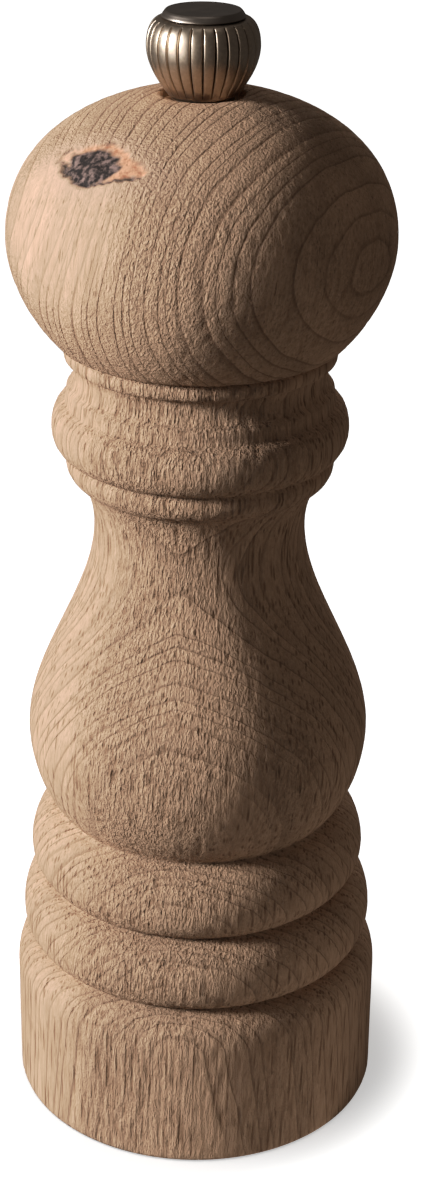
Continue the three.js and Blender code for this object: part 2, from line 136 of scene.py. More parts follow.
def new_object(name, vertices, faces, smooth_angle=None):
    """A smooth-shaded mesh object, with its edges sharp above smooth_angle degrees."""
    mesh = bpy.data.meshes.new(name)
    mesh.from_pydata([tuple(v) for v in vertices], [], faces)
    mesh.validate()
    mesh.shade_smooth()
    if smooth_angle is not None:
        mesh.set_sharp_from_angle(angle=math.radians(smooth_angle))
    piece = bpy.data.objects.new(name, mesh)
    bpy.context.scene.collection.objects.link(piece)
    return piece


def grid_faces(rows, columns, close_rows):
    """Quads of a grid that wraps round its columns, and round its rows too when they close."""
    faces = []
    for row in range(rows if close_rows else rows - 1):
        a = row * columns
        b = (row + 1) % rows * columns
        for column in range(columns):
            side = (column + 1) % columns
            faces.append((a + column, a + side, b + side, b + column))
    return faces


def turned_grid(outline, sides):
    """Radius, height and angle of every vertex of an outline turned about Z."""
    angle = np.arange(sides) / sides * TAU
    return np.repeat(outline[:, 0], sides), np.repeat(outline[:, 1], sides), np.tile(angle, len(outline))


def swept_ring(name, outline, sides, smooth_angle=None, shape=None):
    """A closed outline in millimetres turned about Z. shape(r, z, angle) may change each radius."""
    outline = np.array(outline)
    r, z, a = turned_grid(outline, sides)
    if shape is not None:
        r = shape(r, z, a)
    vertices = np.stack([r * np.cos(a), r * np.sin(a), z], axis=1) * MM
    return new_object(name, vertices, grid_faces(len(outline), sides, True), smooth_angle)


def give_attribute(piece, name, values):
    """Stores a number on every vertex, for the materials to read."""
    attribute = piece.data.attributes.new(name, "FLOAT", "POINT")
    attribute.data.foreach_set("value", np.asarray(values, np.float32))


# ---------------------------------------------------------------- node materials


def new_material(name, **sockets):
    """A material, its node tree and its shader. Each socket is named with _ in place of a space."""
    material = bpy.data.materials.new(name)
    material.use_nodes = True
    shader = material.node_tree.nodes["Principled BSDF"]
    for socket, value in sockets.items():
        shader.inputs[socket.replace("_", " ")].default_value = value
    return material, material.node_tree, shader


def add(tree, kind, inputs, **settings):
    """A node with its settings and inputs: a socket is linked, anything else is a value."""
    node = tree.nodes.new(kind)
    for key, value in settings.items():
        setattr(node, key, value)
    for key, value in inputs.items():
        if isinstance(value, bpy.types.NodeSocket):
            tree.links.new(value, node.inputs[key])
        else:
            node.inputs[key].default_value = value
    return node


def calc(tree, operation, *values):
    """The output of one math node."""
    return add(tree, "ShaderNodeMath", dict(enumerate(values)), operation=operation).outputs[0]


def step_between(tree, x, low, high):
    """The node form of smoothstep."""
    node = add(tree, "ShaderNodeMapRange", {0: x, 1: low, 2: high}, interpolation_type="SMOOTHSTEP")
    return node.outputs[0]


def mixed(tree, factor, a, b, blend="MIX"):
    """Colour a turned into colour b by a factor from 0 to 1."""
    node = add(tree, "ShaderNodeMix", {0: factor, 6: a, 7: b}, data_type="RGBA", blend_type=blend)
    return node.outputs[2]


def colour_of(r, g, b):
    return (r, g, b, 1)


LIGHT_BEECH = colour_of(0.63, 0.405, 0.268)
DARK_BEECH = colour_of(0.46, 0.28, 0.175)
ROSY_BEECH = colour_of(0.63, 0.372, 0.23)
LATE_WOOD = colour_of(0.2, 0.104, 0.055)
HEARTWOOD = colour_of(0.2, 0.115, 0.075)
DEEP_BARK = colour_of(0.015, 0.01, 0.009)
RAISED_BARK = colour_of(0.24, 0.16, 0.14)
DARK_KNOT_FACE = colour_of(0.42, 0.16, 0.085)
ORANGE_KNOT_FACE = colour_of(0.76, 0.36, 0.22)
KNOT_HALO = colour_of(0.62, 0.38, 0.26)
# Dirt together with painted shade, for the bottoms of the knob's grooves.
GROOVE_DIRT_AND_SHADE = colour_of(0.03, 0.022, 0.016)
DARK_NICKEL = (0.5, 0.4, 0.31)
SATIN_NICKEL = (0.3, 0.255, 0.22)
DRAWN_STEEL = (0.56, 0.56, 0.54)
HARD_STEEL = (0.22, 0.215, 0.21)
ZINC = (0.62, 0.62, 0.57)

# How fine each mark in the wood is, in cells per metre along X, Y and the grain.
FIBRE_SCALE = (2600, 2600, 230)
PATCH_SCALE = (70, 70, 22)
FLOW_SCALE = (420, 420, 40)
LONG_RIDGE_SCALE = (1500, 1500, 210)
TICK_SCALE = (2900, 2900, 330)
DASH_SCALE = (2000, 2000, 120)
PORE_SCALE = (5200, 5200, 700)
CRUMBS_PER_RIDGE = 2.1

# Bump heights in metres.
DEEP_BUMP = 0.0009
FINE_BUMP = 0.00014
METAL_BUMP = 0.00002
TURNED_LINE_BUMP = 0.000006
TURNED_LINE_PITCH = 0.28 * MM


def object_point(tree, scale, turn=(0, 0, 0)):
    """The piece's own coordinates, turned and then scaled along each axis."""
    source = add(tree, "ShaderNodeTexCoord", {}).outputs["Object"]
    turned = add(tree, "ShaderNodeMapping", {"Vector": source, "Rotation": turn}).outputs[0]
    return add(tree, "ShaderNodeMapping", {"Vector": turned, "Scale": scale}).outputs[0]


def noise(tree, scale, detail=3.0, turn=(0, 0, 0), roughness=0.5):
    """Smooth noise from 0 to 1 fixed to the piece."""
    vector = object_point(tree, scale, turn)
    inputs = {"Vector": vector, "Scale": 1.0, "Detail": detail, "Roughness": roughness}
    return add(tree, "ShaderNodeTexNoise", inputs).outputs["Fac"]


def attribute(tree, name):
    """The number that give_attribute stored."""
    return add(tree, "ShaderNodeAttribute", {}, attribute_name=name).outputs["Fac"]


def bump(tree, height, distance, strength=1.0, below=None):
    """A bumped normal, on top of another one where below is given."""
    inputs = {"Height": height, "Distance": distance, "Strength": strength}
    if below is not None:
        inputs["Normal"] = below
    return add(tree, "ShaderNodeBump", inputs).outputs[0]


def flecks(tree, scale, share, turn, reach=0.5):
    """Short dark ticks along the grain: a few of the narrow cells, chosen by each cell's own number."""
    vector = object_point(tree, scale, turn)
    cells = add(tree, "ShaderNodeTexVoronoi", {"Vector": vector, "Scale": 1.0, "Randomness": 0.9})
    chosen = add(tree, "ShaderNodeSeparateColor", {0: cells.outputs["Color"]}).outputs[0]
    near = step_between(tree, cells.outputs["Distance"], reach, 0.24 * reach)
    return calc(tree, "MULTIPLY", near, calc(tree, "LESS_THAN", chosen, share))


def wood_material(name, line_width, line_strength, torn_scale, dash_strength, brightness, turn):
    """Raw beech.

    The attribute ring counts growth rings and line says how plain their dark lines are. Flame is heartwood,
    torn is where fibres lift and long is where the lifted ridges are long. The bottoms of pits are darkened
    as painted shade.
    """
    material, tree, shader = new_material(name, Roughness=0.82, Specular_IOR_Level=0.25)
    ring = attribute(tree, "ring")
    within = calc(tree, "FRACT", ring)
    ring_tone = add(tree, "ShaderNodeTexWhiteNoise", {"W": calc(tree, "FLOOR", ring)}, noise_dimensions="1D")
    rise = step_between(tree, within, 1 - 2.2 * line_width, 1 - 0.6 * line_width)
    fall = step_between(tree, within, 1.0, 1 - 0.5 * line_width)
    late = calc(tree, "MULTIPLY", calc(tree, "MULTIPLY", rise, fall), attribute(tree, "line"))
    fibres = noise(tree, FIBRE_SCALE, 4.0, turn, 0.62)
    patches = noise(tree, PATCH_SCALE, 3.0, turn)
    flow = noise(tree, FLOW_SCALE, 3.0, turn)
    torn = attribute(tree, "torn")
    short_ridges = noise(tree, torn_scale, 2.0, turn, 0.5)
    long_ridges = noise(tree, LONG_RIDGE_SCALE, 2.0, turn, 0.5)
    ridges = mixed(tree, attribute(tree, "long"), short_ridges, long_ridges)
    crumbs = noise(tree, [CRUMBS_PER_RIDGE * k for k in torn_scale], 2.0, turn, 0.6)
    lifted = calc(tree, "MULTIPLY", calc(tree, "MULTIPLY_ADD", crumbs, 0.45, ridges), torn)
    # Painted shade: the low gaps between the lifted ridges are darkened.
    tear_shade = calc(tree, "MULTIPLY", step_between(tree, ridges, 0.48, 0.33), torn)
    ticks = flecks(tree, TICK_SCALE, 0.12, turn)
    dashes = flecks(tree, DASH_SCALE, 0.3, turn, 0.62)
    pores = flecks(tree, PORE_SCALE, 0.2, turn)

    colour = mixed(tree, step_between(tree, fibres, 0.3, 0.72), DARK_BEECH, LIGHT_BEECH)
    colour = mixed(tree, calc(tree, "MULTIPLY", patches, 0.45), colour, ROSY_BEECH)
    shade = calc(tree, "MULTIPLY_ADD", ring_tone.outputs[0], 0.14, brightness)
    shade = calc(tree, "MULTIPLY", shade, calc(tree, "MULTIPLY_ADD", flow, 0.3, 0.85))
    late_side = calc(tree, "POWER", within, 2.0)
    shade = calc(tree, "SUBTRACT", shade, calc(tree, "MULTIPLY", late_side, 0.16))
    grey = add(tree, "ShaderNodeCombineColor", {0: shade, 1: shade, 2: shade}).outputs[0]
    colour = mixed(tree, 1.0, colour, grey, "MULTIPLY")
    stains = [
        (late, line_strength, LATE_WOOD),
        (attribute(tree, "flame"), 0.75, HEARTWOOD),
        # painted shade in the gaps between the lifted ridges
        (tear_shade, 0.42, LATE_WOOD),
        (ticks, 0.55, LATE_WOOD),
        (dashes, dash_strength, LATE_WOOD),
        (pores, 0.28, LATE_WOOD),
        # painted shade at the bottom of each pit
        (attribute(tree, "hollow"), 0.34, LATE_WOOD),
    ]
    for mask, strength, stain in stains:
        colour = mixed(tree, calc(tree, "MULTIPLY", mask, strength), colour, stain)
    tree.links.new(knot_colours(tree, colour), shader.inputs["Base Color"])

    height = fibres
    for mask, depth in [(ticks, 0.5), (pores, 0.25), (dashes, dash_strength)]:
        height = calc(tree, "SUBTRACT", height, calc(tree, "MULTIPLY", mask, depth))
    deep = calc(tree, "SUBTRACT", lifted, calc(tree, "MULTIPLY", late, 0.12))
    surface = bump(tree, height, FINE_BUMP, 0.9, bump(tree, deep, DEEP_BUMP, 1.0))
    tree.links.new(surface, shader.inputs["Normal"])
    return material


def knot_colours(tree, colour):
    """A bark-dark core, an orange inner face beside it and a pale halo, from the knot attributes."""
    core = attribute(tree, "knot_core")
    face = attribute(tree, "knot_face")
    halo = attribute(tree, "knot_halo")
    grit = noise(tree, (1100, 1100, 1100), 4.0, (0.4, 0.5, 0.3), 0.6)
    bark = mixed(tree, step_between(tree, grit, 0.42, 0.7), DEEP_BARK, RAISED_BARK)
    flesh = mixed(tree, step_between(tree, grit, 0.3, 0.6), DARK_KNOT_FACE, ORANGE_KNOT_FACE)
    colour = mixed(tree, halo, colour, KNOT_HALO)
    colour = mixed(tree, face, colour, flesh)
    return mixed(tree, core, colour, bark)


def metal_material(name, base, roughness, mark_scale, grain=0.12):
    """Metal with fine marks: mark_scale is how many there are in a metre along each axis."""
    material, tree, shader = new_material(name, Metallic=1.0)
    marks = noise(tree, mark_scale, 3.0)
    worn = noise(tree, (260, 260, 260), 2.0)
    rough = calc(tree, "MULTIPLY_ADD", marks, grain, roughness - grain / 2)
    rough = calc(tree, "MULTIPLY_ADD", worn, 0.08, calc(tree, "SUBTRACT", rough, 0.04))
    tree.links.new(rough, shader.inputs["Roughness"])
    tint = [0.82 * c for c in base]
    colour = mixed(tree, step_between(tree, marks, 0.25, 0.75), colour_of(*tint), colour_of(*base))
    tree.links.new(colour, shader.inputs["Base Color"])
    tree.links.new(bump(tree, marks, METAL_BUMP, 0.4), shader.inputs["Normal"])
    return material, tree, shader


# ---------------------------------------------------------------- the wood's growth rings


def ring_count(distance, width):
    """Rings counted outwards from the pith, some wider than others."""
    plain = distance / width
    return plain + 0.3 * np.sin(plain * 1.7) + 0.12 * np.sin(plain * 4.1 + 1.3)


BARREL_PITH = (5, 150)
BARREL_RING_WIDTH = 1.9
ARCH_X = -3.5
ARCH_STEEPNESS = 0.2
ARCH_ROUNDING = 1.2
BELLY_LEAN = 0.43
FOOT_LEAN = 0.36
FOOT_LEAN_TOP = 26
NECK_LEAN = 0.58
NECK_BEND_Z = 85
NECK_BEND_LENGTH = 15


def barrel_rings(p):
    """Nearly flat rings, leaning so that they cut the front as nested arches, and back again at the neck."""
    x, y, z = p.T
    warp = 1.0 * grain_noise(p, 21, 52, 3) + 0.5 * grain_noise(p, 6.5, 19, 4) + 0.15 * grain_noise(p, 2, 7, 5)
    above = np.maximum(z - NECK_BEND_Z, 0)
    bending = np.minimum(above, NECK_BEND_LENGTH)
    lean = NECK_LEAN * (bending ** 2 / (2 * NECK_BEND_LENGTH) + above - bending)
    lean = lean + FOOT_LEAN * np.minimum(z, FOOT_LEAN_TOP) - BELLY_LEAN * z
    peak = -ARCH_STEEPNESS * np.hypot(x - ARCH_X, ARCH_ROUNDING)
    from_pith = np.hypot(x - BARREL_PITH[0], y - BARREL_PITH[1])
    return ring_count(from_pith + lean + peak + warp, BARREL_RING_WIDTH)


HEAD_GRAIN = np.array([math.cos(math.radians(-31)), math.sin(math.radians(-31)), 0.06])
HEAD_MIDDLE = np.array([0, 0, 147])
HEAD_PITH_DISTANCE = 85
HEAD_PITH_AXIS = np.array([0.06, 0.1, 1.0])
HEAD_RING_WIDTH = 1.9
KNOT_PUSH = 9
KNOT_REACH = 14


def head_rings(p, knot_distance):
    """Rings that bow out towards the right of the front and are pushed aside by the knot."""
    n = HEAD_GRAIN / np.linalg.norm(HEAD_GRAIN)
    offset = p - HEAD_MIDDLE + HEAD_PITH_DISTANCE * n
    axis = HEAD_PITH_AXIS / np.linalg.norm(HEAD_PITH_AXIS)
    flat = offset - (offset @ axis)[:, None] * axis
    warp = 0.7 * grain_noise(p, 17, 30, 13)
    warp = warp + 0.24 * grain_noise(p, 5, 9, 14) + 0.07 * grain_noise(p, 1.6, 3, 15)
    bend = -KNOT_PUSH * np.exp(-(knot_distance / KNOT_REACH) ** 2)
    return ring_count(np.linalg.norm(flat, axis=1) + warp + bend, HEAD_RING_WIDTH)


def late_line(ring):
    """One at the dark edge of each ring, falling to nought away from it."""
    within = ring - np.floor(ring)
    return smoothstep(0.78, 0.95, within) * smoothstep(1.0, 0.97, within)


def fibre_pits(coarse, fine, fine_share):
    """Where two noises dip: the coarse one down to 1, and the fine one down to fine_share more."""
    return smoothstep(0.1, 0.8, -coarse) + fine_share * smoothstep(0.2, 0.9, -fine)


# ---------------------------------------------------------------- the barrel

BASE_RADIUS = 30.1
WALL_TOP = 21.2
BARREL_TOP = 130.8
CHAMBER_RADIUS = 12.75
CHAMBER_BOTTOM = 28
MILL_BORE_RADIUS = 13.4
RECESS_RADIUS = 19.5
RECESS_TOP = 4
BORE_EDGE = 0.3
FLAME_APEX = np.array([[3.5, -16.1, 101.5]])
BARREL_SIDES = 600
BARREL_STEP = 1.05
BARREL_PIT_DEPTH = 0.1
BARREL_LINE_DEPTH = 0.03
FIBRE_HEIGHT = 0.02
PLAIN_FOOT = 0.3


def barrel_outline():
    """The barrel's closed outline, and how many of its points, counted from the foot, are outside."""
    o = Outline(BASE_RADIUS - 0.7, 0, BARREL_STEP)
    o.line(BASE_RADIUS - 0.2, 0.25)
    o.line(BASE_RADIUS, 0.8)
    o.line(BASE_RADIUS, WALL_TOP)
    o.curve(BASE_RADIUS, 24, 28.9, 26.7, 26, 27.5)
    o.curve(28, 28, 28.85, 30, 28.85, 32.3)
    o.curve(28.85, 35.5, 27.6, 38.9, 24.4, 39.7)
    o.curve(26.3, 40.3, 27.3, 42.4, 27.3, 44.4)
    o.curve(27.3, 47.3, 25.6, 51.4, 22.6, 52.3)
    o.curve(26, 56, 27.3, 62, 27.3, 66)
    o.curve(27.3, 77.3, 16.42, 88.8, 16.42, 101.3)
    o.curve(16.42, 103.6, 17, 106.8, 18.5, 108.7)
    o.curve(20.1, 109, 21.5, 111.6, 20.1, 113.4)
    o.curve(21.7, 113.5, 22.8, 115.2, 22.8, 117.3)
    o.curve(22.8, 119.3, 22.2, 121, 20.7, 121.6)
    o.line(20.4, 123.6)
    o.curve(19.3, 124, 18.9, 126.6, 19.4, 127.8)
    o.curve(20, 128.3, 20.8, 128, 20.8, 129.4)
    o.line(20.7, 130.3)
    o.line(20.2, BARREL_TOP)
    outside = len(o.points)
    o.step = 3
    o.line(CHAMBER_RADIUS + BORE_EDGE, BARREL_TOP)
    o.line(CHAMBER_RADIUS, BARREL_TOP - BORE_EDGE)
    o.step = 12
    o.line(CHAMBER_RADIUS, CHAMBER_BOTTOM)
    o.line(MILL_BORE_RADIUS, CHAMBER_BOTTOM)
    o.line(MILL_BORE_RADIUS, RECESS_TOP)
    o.line(RECESS_RADIUS, RECESS_TOP)
    o.line(RECESS_RADIUS, 0)
    return np.array(o.points), outside


def wood_body(name, outline, outside, sides, relief):
    """A turned wood piece whose outside is lifted by relief(points), in millimetres along its normal."""
    normals = outline_normals(outline)
    r, z, a = turned_grid(outline, sides)
    p = np.stack([r * np.cos(a), r * np.sin(a), z], axis=1)
    outer = np.repeat(np.arange(len(outline)) < outside, sides)
    n = np.stack([
        np.repeat(normals[:, 0], sides) * np.cos(a),
        np.repeat(normals[:, 0], sides) * np.sin(a),
        np.repeat(normals[:, 1], sides),
    ], axis=1)
    lift, fields = relief(p)
    lift = np.where(outer & (z > PLAIN_FOOT), lift, 0)
    piece = new_object(name, (p + n * lift[:, None]) * MM, grid_faces(len(outline), sides, True))
    for key, values in fields.items():
        give_attribute(piece, key, values)
    return piece


def barrel_relief(p):
    """Torn fibres across the front, where the rings lie flat to the surface, and finer ones at the sides."""
    x, y, z = p.T
    ring = barrel_rings(p)
    front = np.abs(y) / np.maximum(np.hypot(x, y), 1)
    torn = 0.25 + 0.75 * smoothstep(0.5, 0.95, front)
    torn = torn * (0.4 + 0.6 * patchy(p, 11, 24, 8))
    coarse = grain_noise(p, 0.95, 2.9, 1)
    fine = grain_noise(p, 0.6, 1.5, 2)
    pits = fibre_pits(coarse, fine, 0.6)
    lift = FIBRE_HEIGHT * fine - BARREL_PIT_DEPTH * torn * pits - BARREL_LINE_DEPTH * late_line(ring)
    neck = smoothstep(76, 90, z) * smoothstep(108.5, 107, z)
    side = smoothstep(-4, -1, x) * smoothstep(6, -4, y) * neck
    edge = barrel_rings(FLAME_APEX)[0]
    dark_flame = smoothstep(edge + 0.02, edge - 0.02, ring)
    pale_flame = smoothstep(edge + 0.42, edge + 0.38, ring)
    rough_belly = smoothstep(74, 67, z) * smoothstep(52, 54, z) * smoothstep(0.6, 0.85, front)
    none = np.zeros(len(p))
    return lift, {
        "ring": ring,
        "line": (1 - 0.85 * rough_belly) * (0.65 + 0.35 * patchy(p, 5, 9, 6)),
        "flame": side * (0.6 * dark_flame + 0.4 * pale_flame),
        "torn": torn,
        # pit bottoms, darkened in the wood material as painted shade
        "hollow": np.clip(pits * torn, 0, 1),
        "long": smoothstep(29, 25, z),
        "knot_core": none,
        "knot_face": none,
        "knot_halo": none,
    }


# ---------------------------------------------------------------- the head

HEAD_RADIUS = 29
SPIGOT_RADIUS = 12.4
SPIGOT_BOTTOM = 118
SHAFT_BORE_RADIUS = 4
HEAD_UNDERSIDE = BARREL_TOP + 0.3
HEAD_UNDERSIDE_RADIUS = 21.9
CROWN_Z = 168.05
HEAD_SIDES = 520
HEAD_STEP = 0.46
SEAT_RADIUS = 6.1
SEAT_Z = 166.85
KNOT = np.array([-14.7, -16.6, 162.0])
KNOT_ACROSS = np.array([0.74, -0.67, 0.06])
KNOT_HALF_WIDTH = 8.3
KNOT_HALF_HEIGHT = 3.8
KNOT_LENS_POWER = 1.45
KNOT_FAR = 18
KNOT_DEPTH = 0.3
BENT_GRAIN_MIDDLE = KNOT + np.array([-5, -1, -7])
SMOOTH_MIDDLE = KNOT + np.array([-6, -2, -8])
HEAD_PIT_DEPTH = 0.11
HEAD_LINE_DEPTH = 0.04


def head_outline():
    """The head's closed outline, and how many of its points, counted from the lip, are outside."""
    rim = HEAD_UNDERSIDE_RADIUS
    o = Outline(rim - 0.5, HEAD_UNDERSIDE, HEAD_STEP)
    o.line(rim, HEAD_UNDERSIDE + 0.3)
    o.curve(25.6, 135.1, HEAD_RADIUS, 141.2, HEAD_RADIUS, 147)
    o.curve(HEAD_RADIUS, 154.5, 25.2, 164.1, 8.6, CROWN_Z - 0.1)
    o.line(SEAT_RADIUS + 0.25, CROWN_Z)
    o.line(SEAT_RADIUS, CROWN_Z - 0.25)
    outside = len(o.points)
    o.line(SEAT_RADIUS, SEAT_Z)
    o.line(SHAFT_BORE_RADIUS, SEAT_Z)
    o.step = 8
    o.line(SHAFT_BORE_RADIUS, SPIGOT_BOTTOM)
    o.step = 3
    o.line(SPIGOT_RADIUS - 0.5, SPIGOT_BOTTOM)
    o.line(SPIGOT_RADIUS, SPIGOT_BOTTOM + 0.5)
    o.line(SPIGOT_RADIUS, HEAD_UNDERSIDE)
    o.line(rim - 0.5, HEAD_UNDERSIDE)
    return np.array(o.points[:-1]), outside


def knot_place(p):
    """Distances from the knot's middle, across it and down it, and 1 at the edge of its lens shape."""
    q = p - KNOT
    across_axis = KNOT_ACROSS / np.linalg.norm(KNOT_ACROSS)
    outward = KNOT - HEAD_MIDDLE
    down_axis = np.cross(across_axis, outward / np.linalg.norm(outward))
    across = q @ across_axis
    down = q @ down_axis
    far = np.where(np.linalg.norm(q, axis=1) > KNOT_FAR, 3.0, 0.0)
    u = np.abs(across / KNOT_HALF_WIDTH)
    v = np.abs(down / KNOT_HALF_HEIGHT)
    return across, down, far + (u ** KNOT_LENS_POWER + v ** KNOT_LENS_POWER) ** (1 / KNOT_LENS_POWER)


def head_relief(p):
    """Fine torn fibres, a smooth side under the knot, and the knot's rough sunk core and smoother face."""
    across, down, share = knot_place(p)
    ragged = 0.16 * grain_noise(p, 2.2, 2.2, 31) + 0.1 * grain_noise(p, 0.9, 0.9, 32)
    share = share + ragged
    ring = head_rings(p, np.linalg.norm(p - BENT_GRAIN_MIDDLE, axis=1))
    inside = smoothstep(1.04, 0.92, share)
    blob = smoothstep(1.1, 0.9, np.hypot((across + 1.2) / 4.4, (down - 0.5) / 3.1) + 1.5 * ragged)
    lower_rim = smoothstep(0.74, 0.86, share) * smoothstep(-0.2, 0.7, down + 2 * ragged)
    upper_rim = smoothstep(0.86, 0.95, share) * smoothstep(-0.4, -1.2, down) * smoothstep(0.1, -0.1, ragged)
    core = inside * np.clip(np.maximum(blob, np.maximum(lower_rim, 0.8 * upper_rim)), 0, 1)
    pale_end = smoothstep(-3.6, -5, across)
    around = smoothstep(2.0, 1.0, share) * (1 - inside)
    smooth_side = smoothstep(16, 8, np.linalg.norm(p - SMOOTH_MIDDLE, axis=1))
    coarse = grain_noise(p, 0.85, 1.5, 21)
    fine = grain_noise(p, 0.6, 0.8, 22)
    pits = fibre_pits(coarse, fine, 0.5)
    torn = (1 - 0.9 * smooth_side) * (1 - inside) * (0.3 + 0.45 * patchy(p, 9, 14, 23))
    crags = grain_noise(p, 1.7, 1.2, 33) + 0.5 * grain_noise(p, 0.8, 0.7, 34)
    lift = FIBRE_HEIGHT * fine - HEAD_PIT_DEPTH * torn * pits
    lift = lift - HEAD_LINE_DEPTH * late_line(ring) * (1 - smooth_side)
    lift = lift - inside * (KNOT_DEPTH - 0.2 * crags * core)
    right_side = smoothstep(8, 18, p[:, 0])
    line = (1 - 0.75 * smooth_side) * (1 - inside) * (1 - 0.5 * right_side)
    none = np.zeros(len(p))
    return lift, {
        "ring": ring,
        "line": line * (0.75 + 0.25 * patchy(p, 4, 7, 16)),
        "flame": none,
        "torn": torn,
        # pit bottoms, darkened in the wood material as painted shade
        "hollow": 0.8 * np.clip(pits * torn, 0, 1),
        "long": none,
        "knot_core": core,
        "knot_face": (inside - core) * (1 - 0.6 * pale_end),
        "knot_halo": np.clip(0.55 * around + 0.6 * (inside - core) * pale_end, 0, 1),
    }


# ---------------------------------------------------------------- the knob and its cap

KNOB_RIBS = 28
KNOB_SIDES = KNOB_RIBS * 24
KNOB_GROOVE = 0.5
KNOB_BOTTOM = 167.8
KNOB_RADIUS = 8.27
KNOB_TOP = 178.8
KNOB_BORE_RADIUS = 2.75
CAP_STEM_RADIUS = 3.1
CAP_STEM_BOTTOM = 177.3
CAP_BOTTOM = 179.0
CAP_TOP = 180
CAP_SIDES = 128
SOCKET_GAP = 0.2


def rib_phase(angle):
    """Nought at the middle of a rib and 1 at the middle of a groove."""
    return np.abs((angle / TAU * KNOB_RIBS) % 1 * 2 - 1)


def knob_piece():
    """A round pot with gently convex upright ribs between narrow grooves."""
    o = Outline(KNOB_BORE_RADIUS, KNOB_BOTTOM, 0.3)
    o.line(4.7, KNOB_BOTTOM)
    o.line(5.05, KNOB_BOTTOM + 0.15)
    o.curve(6.6, 169.8, KNOB_RADIUS, 172.4, KNOB_RADIUS, 175.1)
    o.curve(KNOB_RADIUS, 176.6, 7.75, 178.1, 6.95, 178.62)
    o.curve(6.8, 178.72, 6.6, KNOB_TOP, 6.35, KNOB_TOP)
    outer_rows = len(o.points)
    o.step = 2
    o.line(CAP_STEM_RADIUS + SOCKET_GAP, KNOB_TOP)
    o.line(CAP_STEM_RADIUS + SOCKET_GAP, 177)
    o.line(KNOB_BORE_RADIUS, 175.8)
    o.line(KNOB_BORE_RADIUS, KNOB_BOTTOM)
    outline = np.array(o.points[:-1])

    def groove(r, z, angle):
        """The radius with the ribs cut, fading out at the foot and the rim."""
        phase = rib_phase(angle)
        convex = 1 - np.sqrt(1 - (0.97 * phase) ** 2)
        cut = 0.3 * convex + 0.7 * smoothstep(0.76, 0.97, phase)
        return r - KNOB_GROOVE * cut * smoothstep(5.3, 6.8, r) * smoothstep(178.7, 178.3, z)

    piece = swept_ring("knob_nut", outline, KNOB_SIDES, 60, groove)
    phase = rib_phase(turned_grid(outline, KNOB_SIDES)[2])
    outer = np.repeat((outline[:, 0] > 5.4) & (np.arange(len(outline)) < outer_rows - 3), KNOB_SIDES)
    # This mask darkens the bottom of each groove in the knob's material: dirt together with painted shade.
    give_attribute(piece, "groove", np.where(outer, smoothstep(0.86, 0.97, phase), 0))
    return piece


def cap_piece():
    """A disc with a wide bevel, on a stem that fills the nut's socket."""
    nearly_centre = 0.02
    o = Outline(nearly_centre, CAP_STEM_BOTTOM, 1.0)
    o.line(CAP_STEM_RADIUS, CAP_STEM_BOTTOM)
    o.line(CAP_STEM_RADIUS, CAP_BOTTOM)
    o.line(5.9, CAP_BOTTOM)
    o.step = 0.1
    o.curve(6.03, CAP_BOTTOM, 6.07, 179.08, 6.03, 179.18)
    o.curve(5.9, 179.45, 5.6, 179.85, 5.5, 179.93)
    o.curve(5.42, CAP_TOP, 5.4, CAP_TOP, 5.3, CAP_TOP)
    o.step = 0.6
    o.line(nearly_centre, CAP_TOP)
    return swept_ring("cap_disc", o.points, CAP_SIDES, 40)


# ---------------------------------------------------------------- the mechanism's finer shapes


SHAFT_BOTTOM = 3.6
SHAFT_HALF = 2.5
SHAFT_EDGE = 0.4
SHAFT_SIDES = 48
SQUARE_TOP = 159.0
THREAD_TOP = 174.5
THREAD_RADIUS = 2.45
THREAD_DEPTH = 0.45
THREAD_PITCH = 0.8
THREAD_ROW = 0.1
SPRING_TURNS = 5
SPRING_STEPS = SPRING_TURNS * 40
SPRING_RADIUS = 4.9
SPRING_BOTTOM = 16.9
SPRING_TOP = 24.7
WIRE_RADIUS = 0.55
WIRE_SIDES = 12


def shaft_piece():
    """A square bar with softened edges, and a round upper end with a cut thread."""
    chamfer = SHAFT_BOTTOM + 0.3
    shoulder = SQUARE_TOP - 1.2
    heights = [SHAFT_BOTTOM, chamfer] + list(np.arange(10, shoulder, 10)) + [shoulder, SQUARE_TOP]
    heights += list(np.arange(SQUARE_TOP + THREAD_ROW, THREAD_TOP, THREAD_ROW)) + [THREAD_TOP]
    angle = np.arange(SHAFT_SIDES) / SHAFT_SIDES * TAU
    nearest = np.abs((angle + math.pi / 4) % (math.pi / 2) - math.pi / 4)
    square = np.minimum(SHAFT_HALF / np.cos(nearest), SHAFT_HALF * math.sqrt(2) - SHAFT_EDGE * 0.9)
    rows = []
    for z in heights:
        r = square.copy()
        if z < chamfer:
            r = square - 0.3
        if z >= SQUARE_TOP:
            turns = (z / THREAD_PITCH - angle / TAU) % 1
            cut_in = float(smoothstep(SQUARE_TOP, SQUARE_TOP + 1, z))
            r = THREAD_RADIUS - THREAD_DEPTH * np.abs(2 * turns - 1) * cut_in
            r = r * (1 - 0.2 * float(smoothstep(THREAD_TOP - 0.9, THREAD_TOP, z)))
        rows.append(np.stack([r * np.cos(angle), r * np.sin(angle), np.full(SHAFT_SIDES, z)], axis=1))
    vertices = np.concatenate(rows) * MM
    faces = grid_faces(len(heights), SHAFT_SIDES, False)
    top = (len(heights) - 1) * SHAFT_SIDES
    faces.append(tuple(reversed(range(SHAFT_SIDES))))
    faces.append(tuple(range(top, top + SHAFT_SIDES)))
    return new_object("shaft_bar", vertices, faces, 30)


